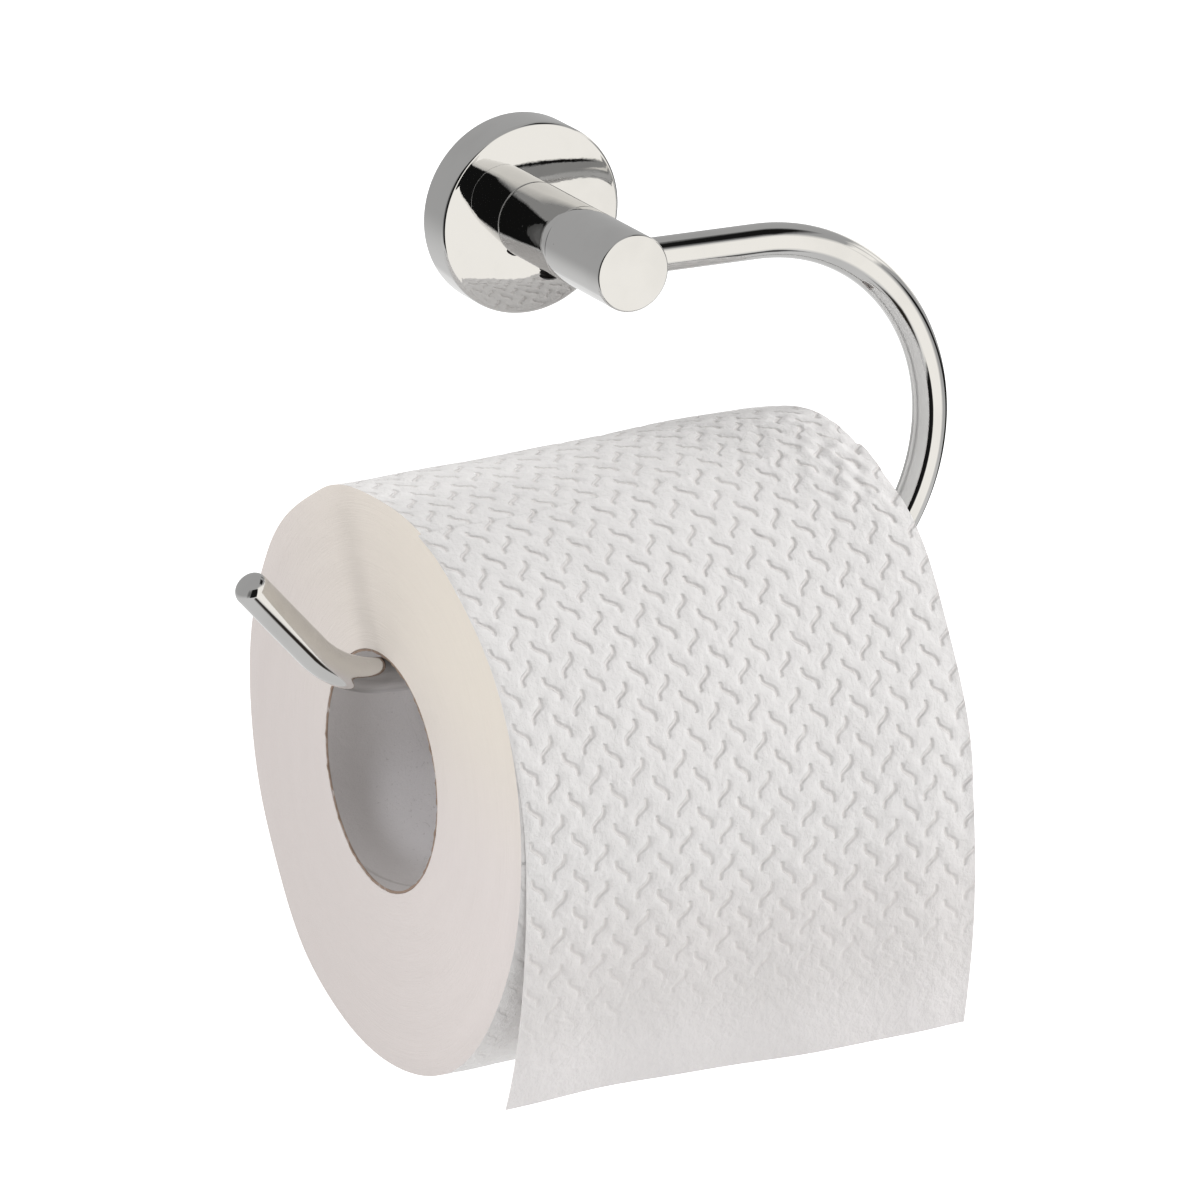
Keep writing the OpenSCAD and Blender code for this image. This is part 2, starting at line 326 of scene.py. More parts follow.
def grow_ring(rise, radius_from, radius_to, height):
    """Extrudes the screw upwards and scales its new end ring about the screw's axis."""
    bpy.ops.mesh.extrude_region_move(TRANSFORM_OT_translate={"value": (0, 0, rise)})
    scale = radius_to / radius_from
    bpy.ops.transform.resize(value=(scale, scale, 1), center_override=(0, SCREW_Y, height))


radius_now, height_now = END_R, SCREW_END
chamfer = [(0.4 * MM, SCREW_R)]
thread = [(PITCH * share, ring_r) for share, ring_r in ONE_TURN * TURNS]
for rise, radius_next in chamfer + thread:
    height_now += rise
    grow_ring(rise, radius_now, radius_next, height_now)
    radius_now = radius_next
close_edit(screw, 30)
hex_cutter = new_piece("hex_cutter", bpy.ops.mesh.primitive_cylinder_add, vertices=6, radius=SOCKET_R,
                       depth=2 * SOCKET_DEPTH, location=(0, SCREW_Y, SCREW_END))
apply_modifier(screw, "BOOLEAN", operation="DIFFERENCE", object=hex_cutter)
bpy.data.objects.remove(hex_cutter)
print("set screw", len(screw.data.polygons), "faces, from", round(SCREW_END * 1000, 2))

# %% [markdown]
# ## Formulas that shape a mesh and a material
# Some patterns are needed twice: once to move the points of a mesh, and once in a material.
# A wire stands for an output of a node. Arithmetic on a wire adds Math nodes, and the same
# arithmetic on an array of numbers just computes, so each formula is written only once.

# %% Wires
class Wire:
    """An output of a node, with arithmetic that adds Math nodes."""

    def __init__(self, tree, socket):
        self.tree, self.socket = tree, socket

    def __add__(self, other):
        return wired("ADD", self, other)

    def __sub__(self, other):
        return wired("SUBTRACT", self, other)

    def __rsub__(self, other):
        return wired("SUBTRACT", other, self)

    def __mul__(self, other):
        return wired("MULTIPLY", self, other)

    def __truediv__(self, other):
        return wired("DIVIDE", self, other)

    __radd__, __rmul__ = __add__, __mul__


def wired(operation, *values):
    """Adds a Math node that takes wires or numbers, and returns its output as a wire."""
    tree = next(value.tree for value in values if isinstance(value, Wire))
    node = tree.nodes.new("ShaderNodeMath")
    node.operation = operation
    for socket, value in zip(node.inputs, values):
        if isinstance(value, Wire):
            tree.links.new(value.socket, socket)
        else:
            socket.default_value = value
    return Wire(tree, node.outputs[0])


def either(operation, on_numbers):
    """A function that computes on numbers and adds a Math node on wires."""
    def act(*values):
        if any(isinstance(value, Wire) for value in values):
            return wired(operation, *values)
        return on_numbers(*values)
    return act


sine, cosine = either("SINE", np.sin), either("COSINE", np.cos)
root, whole = either("SQRT", np.sqrt), either("ROUND", np.round)
least, most = either("MINIMUM", np.minimum), either("MAXIMUM", np.maximum)


def eased(value):
    """Goes smoothly from 0 to 1 as the value does, and stays there outside."""
    value = least(most(value, 0.0), 1.0)
    return value * value * (3 - value * 2)


def waves(phase, *terms):
    """Smooth irregular value from a few waves: pairs of strength and argument."""
    return sum(sine(arg + phase * (i + 1)) * k for i, (k, arg) in enumerate(terms))


print("eased halfway", float(eased(np.array(0.5))))

# %% [markdown]
# ## The cardboard core
# The core is a spiral-wound tube of thin grey board. Its cut ends are a little ragged, so the
# end rings are nudged by a fraction of a millimetre.

# %% Core tube
CORE_R, CORE_WALL = 24.3 * MM, 0.5 * MM
ALONG_X = (0, math.pi / 2, 0)
LIKE_THE_ROLL = dict(depth=ROLL_RIGHT - ROLL_LEFT, rotation=ALONG_X,
                     location=((ROLL_LEFT + ROLL_RIGHT) / 2, ROLL_Y, ROLL_Z))
PAPER_LEFT, PAPER_WIDE = -50, 101
PAPER_MID, PAPER_HALF = 0.5, 50.5


def get_points(piece):
    """Vertex positions of a mesh as an array."""
    flat = np.empty(len(piece.data.vertices) * 3, np.float32)
    piece.data.vertices.foreach_get("co", flat)
    return flat.reshape(-1, 3).astype(float)


def set_points(piece, points):
    """Writes vertex positions back to a mesh."""
    piece.data.vertices.foreach_set("co", points.astype(np.float32).ravel())
    piece.data.update()


core = new_piece("cardboard_core", bpy.ops.mesh.primitive_cylinder_add, vertices=256,
                 radius=CORE_R + CORE_WALL, **LIKE_THE_ROLL)
open_edit(core)
pick(core, "FACE", lambda f: len(f.verts) > 4)
bpy.ops.mesh.delete(type="ONLY_FACE")
pick(core, "EDGE", lambda e: abs(e.verts[0].co.x - e.verts[1].co.x) > MM)
bpy.ops.mesh.subdivide(number_cuts=40)
close_edit(core)
apply_modifier(core, "SOLIDIFY", thickness=CORE_WALL, offset=-1)
bpy.ops.object.shade_smooth_by_angle(angle=math.radians(40))
points = get_points(core)
turn = np.arctan2(points[:, 2] - ROLL_Z, points[:, 1] - ROLL_Y)
at_end = np.maximum(np.abs(points[:, 0] - PAPER_MID * MM) / (PAPER_HALF * MM) - 0.99, 0) / 0.01
ragged = waves(0.7, (0.10, turn * 17), (0.08, turn * 43), (0.07, turn * 71), (0.05, turn * 7))
points[:, 0] += np.sign(points[:, 0]) * at_end * (ragged - 0.05) * MM
set_points(core, points)
print("core", len(core.data.polygons), "faces")

# %% [markdown]
# ## How the tissue is shaped
# The tissue is soft, so its shape is written as moves of many small faces, the way a sculptor
# would push clay. Three things make it look real: the roll isn't perfectly round, its
# embossing is a field of short wavy dents, and the last sheet hangs a little askew.
#
# Every point of tissue has two paper coordinates in millimetres: one across the roll and one
# along the paper, counted from the top of the roll down its front. The dents are one formula
# of these two. It moves the mesh, and it also feeds the bump of the tissue's material, which
# can draw the steep little walls that the mesh is too coarse for.

# %% Embossing
DENT_APART, ROW_APART = 9.4, 7.85
DENT_HALF, CURVE_HALF, DENT_SWING, DENT_WIDTH = 2.1, 1.5, 1.3, 0.42
SOFT_SIDE, STEEP_SIDE = 0.75, -1.9
SKEW, DEEP = 0.03, 0.52
FLATTER_FROM, FLATTER_OVER = 100, 45


def dent(x, s, side, soft):
    """One field of wavy dents, 0 on the face to 1 at a dent's floor, steeper on the left."""
    x = x - whole(x / DENT_APART) * DENT_APART
    s = s - whole(s / ROW_APART) * ROW_APART
    held = least(most(s, -DENT_HALF), DENT_HALF)
    wave = least(most(s / CURVE_HALF, -1.0), 1.0) * (math.pi / 2)
    slope = cosine(wave) * (DENT_SWING * math.pi / 2 / CURVE_HALF)
    sideways = (x - sine(wave) * (side * DENT_SWING)) / root(slope * slope + 1)
    sideways = most(sideways * SOFT_SIDE, sideways * STEEP_SIDE)
    beyond = s - held
    away = root(sideways * sideways + beyond * beyond)
    return eased((DENT_WIDTH + soft / 2 - away) / soft)


def embossing(across, along, soft=1.8):
    """Depth of the embossing from 0 to 1: two fields of dents that lean against each other."""
    x = across - (along - 50) * SKEW + 0.8
    s = along + across * SKEW - 51.2
    x = x + waves(0.4, (0.12, s * 0.21), (0.10, x * 0.17))
    s = s + waves(1.3, (0.14, x * 0.19), (0.10, s * 0.23))
    both = most(dent(x, s, 1, soft), dent(x - DENT_APART / 2, s + ROW_APART / 2, -1, soft))
    return both * (1 - eased((along - FLATTER_FROM) / FLATTER_OVER))


print("one dent every", DENT_APART / 2, "by", ROW_APART / 2, "mm")

# %% How far the roll is from round
ROUND = 60
STEP_ANGLE = 30
LEFT_OUT_OF_ROUND = (1.4, 1.5, -1.2, -4.0, -2.8, -0.6, 0.4, 0.8, 2.2, 2.3, 2.4, 0.7)
RIGHT_OUT_OF_ROUND = (0.2, 0.6, 1.5, 2.0, 0.6, -3.0, -1.4, 0.4, 0.6, 0.4, 0.4, 0.0)


def around(values, turn):
    """Reads a ring of listed values smoothly at an angle in degrees."""
    place = (turn % 360) / STEP_ANGLE
    low = np.floor(place).astype(int)
    share = (1 - np.cos((place - low) * np.pi)) / 2
    ring = np.array(values, float)
    count = len(values)
    return ring[low % count] * (1 - share) + ring[(low + 1) % count] * share


def share_across(across):
    """How far a point lies from the paper's left edge to its right, from 0 to 1."""
    return np.clip((across - PAPER_LEFT) / PAPER_WIDE, 0, 1)


def roll_radius(across, turn):
    """Outer radius of the soft roll in millimetres; turn is 90 at the top and 180 in front."""
    share = share_across(across)
    share = share * share * (3 - 2 * share)
    out = around(LEFT_OUT_OF_ROUND, turn) * (1 - share) + around(RIGHT_OUT_OF_ROUND, turn) * share
    rad = np.radians(turn)
    soft = waves(0.9, (0.10, across * 0.11 + rad * 3), (0.08, across * 0.23 - rad * 5),
                 (0.05, rad * 9 + across * 0.05))
    crushed = np.exp(-((across - 43) / 10) ** 2 - ((turn - 106) / 17) ** 2)
    folds = waves(0.2, (0.22, across * 0.9 + rad * 20), (0.20, across * 1.6 - rad * 33),
                  (0.16, rad * 70 + across * 0.7))
    droop = 0.6 * np.clip((across - 41) / 10, 0, 1) ** 2
    return ROUND + out + soft + crushed * folds - droop


print("roll radius at the top left", round(float(roll_radius(np.array(-50.0), np.array(90.0))), 2), "mm")

# %% [markdown]
# ## The wound roll
# The roll is one closed ring. Its side faces carry the edges of hundreds of layers, and its
# outside carries the embossing. The paper is a spiral: the outermost layer starts at a
# perforation near the top, so just beside that line the roll is one layer thicker.

# %% Wound roll
PERFORATION = 15.0
LAYER = 0.6
EDGE_BAND = 2.5
PRESSED_FLAT = 0.75
BORE = (CORE_R + CORE_WALL) / MM + 0.05


def from_axis(corner):
    """Distance of a corner from the roll's axis."""
    return math.hypot(corner.co.y - ROLL_Y, corner.co.z - ROLL_Z)


def runs_out(edge):
    """True for an edge of a side face that runs outwards from the core."""
    one, other = edge.verts
    return abs(one.co.x - other.co.x) < 1e-6 and abs(from_axis(one) - from_axis(other)) > MM


def runs_across(edge):
    """True for an edge of the outside that runs from one side face to the other."""
    one, other = edge.verts
    return abs(one.co.x - other.co.x) > MM and from_axis(one) > 0.98 * ROUND * MM


wound = new_piece("wound_roll", bpy.ops.mesh.primitive_cylinder_add, vertices=480,
                  radius=ROUND * MM, **LIKE_THE_ROLL)
open_edit(wound)
pick(wound, "FACE", lambda f: len(f.verts) > 4)
bpy.ops.mesh.inset(thickness=ROUND * MM - BORE * MM, use_individual=True)
bpy.ops.mesh.delete(type="FACE")
pick(wound, "EDGE", lambda e: e.is_boundary)
bpy.ops.mesh.bridge_edge_loops()
pick(wound, "EDGE", runs_out)
bpy.ops.mesh.subdivide(number_cuts=17)
pick(wound, "EDGE", runs_across)
bpy.ops.mesh.subdivide(number_cuts=125)
close_edit(wound, 50)

points = get_points(wound)
across = points[:, 0] / MM
radius = np.hypot(points[:, 1] - ROLL_Y, points[:, 2] - ROLL_Z) / MM
turn = np.degrees(np.arctan2(points[:, 2] - ROLL_Z, points[:, 1] - ROLL_Y)) % 360


def start_turn(across):
    """Angle of the perforation, which lies a little askew like the rows of dents."""
    return 90 + np.degrees((PERFORATION - SKEW * across) / ROUND)


def way_back(across, turn):
    """How far back round the roll a point lies behind the perforation, in degrees."""
    return (start_turn(across) - turn) % 360


def along_wound(across, back):
    """Paper coordinate along the wound paper; below the loose sheet it runs as the sheet does."""
    at_start = PERFORATION - SKEW * across
    before = at_start - np.radians(back) * ROUND
    beyond = at_start + np.radians(360 - back) * ROUND
    return np.where(back < start_turn(across) + 180, before, beyond)


def below_the_sheet(along):
    """Goes to 1 on the wound paper that lies under and right below the loose sheet."""
    return eased((along * -1 - 200) / 25)


back = way_back(across, turn)
outer = roll_radius(across, turn) - LAYER * np.clip(back / (start_turn(across) + 180), 0, 1)
along = along_wound(across, back)
share = np.clip((radius - BORE) / (ROUND - BORE), 0, 1)
is_outside = (share > 0.999).astype(float)
inward = np.clip((PAPER_HALF - np.abs(across - PAPER_MID)) / EDGE_BAND, 0, 1)
depth = DEEP * (1 - below_the_sheet(along) * PRESSED_FLAT) * embossing(across, along)
new_radius = BORE + (outer - BORE) * share - depth * is_outside * inward
side = np.sign(across)
is_side = (np.abs(across) > 49.9) & (share > 0.001)
rad = np.radians(turn)
face_wave = waves(0.5, (0.10, radius * 1.9), (0.08, radius * 0.7 + rad),
                  (0.10, rad * 2 + radius * 0.2), (0.07, rad * 11 + radius * 0.9))
edge_curl = -0.5 * np.clip((share - 0.96) / 0.04, 0, 1) ** 2
points[:, 0] = np.where(is_side, (across + side * (face_wave - 0.2 + edge_curl)) * MM, points[:, 0])
points[:, 1] = ROLL_Y + new_radius * np.cos(rad) * MM
points[:, 2] = ROLL_Z + new_radius * np.sin(rad) * MM
set_points(wound, points)
print("wound roll", len(wound.data.polygons), "faces")

# %% [markdown]
# Both paper coordinates are stored on the roll as a UV map, so that the pattern of the
# material follows the paper round. A face at the perforation has corners on both sides of the
# jump in the coordinate, so each face is numbered from its own middle. The side faces get a
# value far beyond the paper, by which the material tells them from the outside.

# %% Paper coordinates of the wound roll
BEYOND = 900.0


def corners(piece):
    """For each corner of each face: its point's number and its face's number."""
    point = np.empty(len(piece.data.loops), np.int32)
    piece.data.loops.foreach_get("vertex_index", point)
    size = np.empty(len(piece.data.polygons), np.int32)
    piece.data.polygons.foreach_get("loop_total", size)
    return point, np.repeat(np.arange(len(size)), size)


def write_paper_map(piece, across, along):
    """Stores paper coordinates as a UV map, in units of 100 mm."""
    layer = piece.data.uv_layers.new(name="paper")
    layer.data.foreach_set("uv", np.stack([across / 100, along / 100], 1).astype(np.float32).ravel())


point, face = corners(wound)
counts = np.bincount(face)
middle_across = np.bincount(face, across[point]) / counts
middle_share = np.bincount(face, share[point]) / counts
middle_sine, middle_cosine = np.bincount(face, np.sin(rad)[point]), np.bincount(face, np.cos(rad)[point])
middle_turn = np.degrees(np.arctan2(middle_sine, middle_cosine)) % 360
from_middle = (turn[point] - middle_turn[face] + 180) % 360 - 180
corner_back = way_back(middle_across, middle_turn)[face] - from_middle
corner_along = along_wound(middle_across[face], corner_back)
corner_along += SKEW * (middle_across[face] - across[point])
write_paper_map(wound, across[point], np.where(middle_share[face] > 0.995, corner_along, BEYOND))
print("paper map on", int((middle_share > 0.995).sum()), "outside faces")

# %% [markdown]
# ## The last sheet
# The outermost sheet starts at the perforation, lies on the front of the roll and hangs down
# free. It is a single flat rectangle of tissue, so it is made as a flat grid, and every point
# of the grid is then carried to its place. Its embossing has been pressed flat near the end,
# and its left edge is pressed down onto the roll.

# %% Loose sheet
SHEET_W, SHEET_L, SHEET_T = 101.0, 135.0, 0.35
FRONT = ROUND * math.pi / 2
CURL_LEFT, CURL_MORE = 130, 320
BULGE = 1.8


def sheet_point(across, along):
    """Place of a point of the loose sheet's outer face, as three arrays in millimetres."""
    on_roll = np.minimum(along, FRONT)
    turn = 90 + np.degrees(on_roll / ROUND)
    radius = roll_radius(across, turn)
    rad = np.radians(turn)
    y = radius * np.cos(rad)
    z = radius * np.sin(rad)
    hang = np.maximum(along - FRONT, 0)
    share = share_across(across)
    curl = CURL_LEFT + CURL_MORE * share ** 3
    y = y + np.where(hang > 0, curl * (1 - np.cos(hang / curl)), 0)
    z = z - np.where(hang > 0, curl * np.sin(hang / curl), 0) * (1.016 - 0.046 * share)
    sway = waves(0.6, (0.35, across * 0.09 + along * 0.02), (0.2, across * 0.21 - along * 0.05))
    y = y + sway * np.clip(hang / 50, 0, 1) ** 2
    y = y - BULGE * share ** 2 * np.sin(np.clip(hang / 58, 0, 1) * math.pi)
    return across, y, z


sheet = new_piece("loose_sheet", bpy.ops.mesh.primitive_grid_add,
                  x_subdivisions=176, y_subdivisions=236, size=1)
points = get_points(sheet)
u, v = points[:, 0] + 0.5, 0.5 - points[:, 1]
down = v * SHEET_L
wider = 1.1 * np.sin(v * math.pi) * (1 - u) ** 2
across = PAPER_LEFT + u * SHEET_W + SKEW * down - wider
along = PERFORATION + down - SKEW * across
x, y, z = sheet_point(across, along)
xa, ya, za = sheet_point(across + 0.1, along)
xb, yb, zb = sheet_point(across, along + 0.1)
along_x = np.stack([xa - x, ya - y, za - z], 1)
along_s = np.stack([xb - x, yb - y, zb - z], 1)
outward = np.cross(along_s, along_x)
outward /= np.linalg.norm(outward, axis=1)[:, None]
inward = np.clip(np.minimum(u, 1 - u) * SHEET_W / EDGE_BAND, 0, 1)
deep = DEEP * embossing(across, along) * inward
on_the_roll = np.clip((FRONT + 15 - along) / 25, 0, 1)
edge_down = 0.25 * np.clip(1 - u * SHEET_W / 1.5, 0, 1) ** 2 * on_the_roll
place = np.stack([x, y, z], 1) - outward * (deep + edge_down)[:, None]
place[:, 1] += ROLL_Y / MM
place[:, 2] += ROLL_Z / MM
set_points(sheet, place * MM)
point = corners(sheet)[0]
write_paper_map(sheet, across[point], along[point])
open_edit(sheet)
bpy.ops.mesh.select_all(action="SELECT")
bpy.ops.mesh.normals_make_consistent(inside=False)
bpy.ops.object.mode_set(mode="OBJECT")
mean_normal = sum((Vector(p.normal) for p in sheet.data.polygons), Vector())
print("sheet faces outwards:", mean_normal.y < 0)
apply_modifier(sheet, "SOLIDIFY", thickness=SHEET_T * MM, offset=-1)
bpy.ops.object.shade_smooth_by_angle(angle=math.radians(60))
print("loose sheet", len(sheet.data.polygons), "faces")

# %% [markdown]
# ## Materials
# Each finish is a small tree of nodes. Effects that several finishes share, such as fine
# surface grain, are groups that put out a value or a colour. The shader itself, and every
# number that is the same all over a surface, stays in the material.

# %% Node helpers
def new_material(name, **plain):
    """A material with one Principled shader, and the numbers that are the same all over it."""
    material = bpy.data.materials.new(name)
    material.use_nodes = True
    shader = material.node_tree.nodes["Principled BSDF"]
    for key, value in plain.items():
        shader.inputs[key.replace("_", " ").title().replace("Ior", "IOR")].default_value = value
    return material, material.node_tree, shader


def add_node(tree, kind, **settings):
    """Adds a shader node and sets its properties."""
    node = tree.nodes.new("ShaderNode" + kind)
    for key, value in settings.items():
        setattr(node, key, value)
    return node


def feed(wire, socket):
    """Links a wire to a socket."""
    wire.tree.links.new(wire.socket, socket)


def split(tree, vector):
    """The three parts of a vector as wires."""
    node = add_node(tree, "SeparateXYZ")
    tree.links.new(vector, node.inputs[0])
    return [Wire(tree, output) for output in node.outputs]


def join(tree, *parts):
    """A vector made of three wires or numbers."""
    node = add_node(tree, "CombineXYZ")
    for part, socket in zip(parts, node.inputs):
        if isinstance(part, Wire):
            feed(part, socket)
        else:
            socket.default_value = part
    return node.outputs[0]


def place_of(tree):
    """Where a point lies in the model, as three wires in millimetres."""
    return [part * 1000 for part in split(tree, add_node(tree, "TexCoord").outputs["Object"])]


def colour_from(tree, socket, shader):
    """Links a colour to the shader's base colour."""
    tree.links.new(socket, shader.inputs["Base Color"])


def noise(tree, where, scale, detail=2.0, rough=0.5):
    """Cloudy noise round 0.5 as a wire; the scale is in clouds per unit of the vector."""
    node = add_node(tree, "TexNoise")
    tree.links.new(where, node.inputs["Vector"])
    for key, value in (("Scale", scale), ("Detail", detail), ("Roughness", rough)):
        if isinstance(value, Wire):
            feed(value, node.inputs[key])
        else:
            node.inputs[key].default_value = value
    return Wire(tree, node.outputs[0])


def blend(tree, share, first, second):
    """Mixes two colours, given as numbers or as sockets."""
    node = add_node(tree, "Mix", data_type="RGBA")
    feed(share, node.inputs[0])
    for socket, colour in ((node.inputs[6], first), (node.inputs[7], second)):
        if isinstance(colour, tuple):
            socket.default_value = (*colour, 1)
        else:
            tree.links.new(colour, socket)
    return node.outputs[2]


def relief(tree, shader, *layers):
    """Bump from several heights, each a wire and its depth in millimetres."""
    normal = None
    for height, depth in layers:
        node = add_node(tree, "Bump")
        node.inputs["Distance"].default_value = depth * MM
        feed(height, node.inputs["Height"])
        if normal:
            tree.links.new(normal, node.inputs["Normal"])
        normal = node.outputs[0]
    tree.links.new(normal, shader.inputs["Normal"])


def grey(value):
    """A colour without a tint."""
    return (value, value, value)


print("node helpers are ready")

# %% [markdown]
# Four small groups make what several finishes share: fine grain, soft smudges, small specks
# and the wavy dents of the embossing, which come from the same formula as those of the mesh.

# %% Groups that several finishes share
def new_group(name, **inputs):
    """A node group with number inputs and one number output; returns it and its inputs."""
    group = bpy.data.node_groups.new(name, "ShaderNodeTree")
    for label, value in inputs.items():
        socket = group.interface.new_socket(label, in_out="INPUT", socket_type="NodeSocketFloat")
        socket.default_value = value
    group.interface.new_socket("Value", in_out="OUTPUT", socket_type="NodeSocketFloat")
    start = group.nodes.new("NodeGroupInput")
    return group, [Wire(group, start.outputs[label]) for label in inputs]


def close_group(group, wire):
    """Sends a wire to the group's output."""
    feed(wire, group.nodes.new("NodeGroupOutput").inputs["Value"])


def use(tree, group, **inputs):
    """Puts a group into a tree and returns its output as a wire."""
    node = tree.nodes.new("ShaderNodeGroup")
    node.node_tree = group
    for label, value in inputs.items():
        if isinstance(value, Wire):
            feed(value, node.inputs[label])
        else:
            node.inputs[label].default_value = value
    return Wire(tree, node.outputs["Value"])


grain, (per_mm,) = new_group("fine_grain", PerMm=4.0)
close_group(grain, noise(grain, join(grain, *place_of(grain)), per_mm, 4.0, 0.6))

smudges, (size, dirt) = new_group("soft_smudges", Size=12.0, Dirt=1.0)
cloud = noise(smudges, join(smudges, *[part / size for part in place_of(smudges)]), 1.0, 3.0, 0.55)
close_group(smudges, eased((cloud - 0.45) * 4) * dirt)

specks, (apart, wide) = new_group("small_specks", Apart=6.0, Wide=0.06)
cells = add_node(specks, "TexVoronoi")
specks.links.new(join(specks, *[part / apart for part in place_of(specks)]), cells.inputs["Vector"])
cells.inputs["Scale"].default_value = 1
close_group(specks, eased(1 - Wire(specks, cells.outputs["Distance"]) / wide))

wavy_dents, (across_in, along_in) = new_group("wavy_dents", Across=0.0, Along=0.0)
close_group(wavy_dents, embossing(across_in, along_in, 0.6))
print("groups", [group.name for group in bpy.data.node_groups])

# %% [markdown]
# Chrome is almost a perfect mirror. What makes it look real is how slightly it fails: the
# plating ripples a little, fingers have left faint dull patches, and a few specks of dust and
# tiny pits sit on it. The metal under a mirror finish reflects about two thirds of the light.

# %% Chrome
chrome, tree, shader = new_material("mirror_chrome", metallic=1.0)
dull = use(tree, smudges, Size=14.0, Dirt=1.0)
speck = use(tree, specks, Apart=7.0, Wide=0.03)
CHROME, DULL_CHROME = (0.635, 0.630, 0.620), (0.54, 0.535, 0.525)
colour_from(tree, blend(tree, dull * 0.3 + speck * 0.5, CHROME, DULL_CHROME), shader)
feed(dull * 0.018 + speck * 0.25 + 0.022, shader.inputs["Roughness"])
ripple = use(tree, grain, PerMm=0.12)
relief(tree, shader, (ripple, 0.02), (use(tree, grain, PerMm=6.0), 0.00015), (speck, -0.01))
print("chrome", len(tree.nodes), "nodes")

# %% [markdown]
# The other metals are hardly seen, yet each gets its own finish. The set screws are steel
# blackened in a hot bath, so they are dark, a little rough and worn at the edges. The wall
# bracket is cast zinc, grey and grainy. The head screw is plated steel, with the fine rings
# that turning leaves.

# %% Black oxide
black_oxide, tree, shader = new_material("black_oxide", metallic=0.7)
fine = use(tree, grain, PerMm=9.0)
worn = use(tree, smudges, Size=1.2, Dirt=0.5)
colour_from(tree, blend(tree, worn, (0.016, 0.015, 0.014), (0.055, 0.052, 0.05)), shader)
feed(fine * 0.25 + 0.28, shader.inputs["Roughness"])
relief(tree, shader, (fine, 0.02))
print("black oxide", len(tree.nodes), "nodes")

# %% Cast zinc
cast_zinc, tree, shader = new_material("cast_zinc", metallic=1.0)
fine = use(tree, grain, PerMm=3.0)
stain = use(tree, smudges, Size=7.0, Dirt=0.8)
colour_from(tree, blend(tree, stain, (0.47, 0.47, 0.48), (0.34, 0.335, 0.33)), shader)
feed(fine * 0.3 + stain * 0.12 + 0.3, shader.inputs["Roughness"])
relief(tree, shader, (use(tree, grain, PerMm=0.6), 0.12), (fine, 0.06))
print("cast zinc", len(tree.nodes), "nodes")

# %% Plated steel
plated, tree, shader = new_material("plated_steel", metallic=1.0)
x, y, z = place_of(tree)
lathe = noise(tree, join(tree, 0.0, y, root(x * x + z * z)), 9.0, 2.0)
stain = use(tree, smudges, Size=3.0, Dirt=0.7)
colour_from(tree, blend(tree, stain, (0.60, 0.60, 0.58), (0.47, 0.46, 0.42)), shader)
feed(lathe * 0.25 + stain * 0.1 + 0.15, shader.inputs["Roughness"])
relief(tree, shader, (lathe, 0.01), (use(tree, grain, PerMm=5.0), 0.01))
print("plated steel", len(tree.nodes), "nodes")

# %% [markdown]
# The core is grey board, wound in a spiral, so one seam climbs round its inside. Board is
# felted from short fibres with darker flecks of reclaimed paper, and the saw leaves its two
# ends brown and fuzzy. Light and shade are painted into its tone: it is painted darker near its
# left end than further in, and a painted pool of light makes one patch low at the back palest.

# %% Grey board
cardboard, tree, shader = new_material("grey_board")
x, y, z = place_of(tree)
angle = wired("ARCTAN2", z - ROLL_Z / MM, y - ROLL_Y / MM) / (2 * math.pi)
SEAM_CLIMB = 62
phase = x / SEAM_CLIMB + angle + 10
seam_at = phase - whole(phase)
seam = 1 - eased(most(seam_at, seam_at * -1) / 0.012)
step = eased(seam_at / 0.02 + 0.5)
fleck = eased((use(tree, grain, PerMm=1.6) - 0.6) * 9)
felt = use(tree, grain, PerMm=5.0)
end = eased((most(x - PAPER_MID, PAPER_MID - x) - 50.1) / 0.25)
# Painted light and shade: darker near the tube's ends, lighter further in, and a painted pool of light
# on one patch low at the back.
deep_in = eased((x + 46) / 15) * (1 - eased((x - 5) / 30))
away_x, away_round = (x + 31) / 9, (angle + 0.125) / 0.09
pale = eased(1.5 - root(away_x * away_x + away_round * away_round))
SHADE_NEAR_ENDS, LIT_FURTHER_IN, LIT_PATCH = (0.545, 0.517, 0.507), (0.79, 0.767, 0.767), (0.90, 0.88, 0.89)
FLECKS, SEAM_SHADE, SAWN = (0.46, 0.435, 0.43), (0.26, 0.23, 0.21), (0.25, 0.15, 0.09)
tone = blend(tree, deep_in, SHADE_NEAR_ENDS, LIT_FURTHER_IN)
for share_of, colour in ((pale, LIT_PATCH), (fleck * 0.35 + felt * 0.3, FLECKS),
                         (seam * 0.35, SEAM_SHADE), (end * 0.8, SAWN)):
    tone = blend(tree, share_of, tone, colour)
colour_from(tree, tone, shader)
feed(felt * 0.15 + 0.75, shader.inputs["Roughness"])
relief(tree, shader, (step, 0.12), (seam, -0.15), (use(tree, grain, PerMm=0.35), 0.2), (felt, 0.05))
print("board", len(tree.nodes), "nodes")
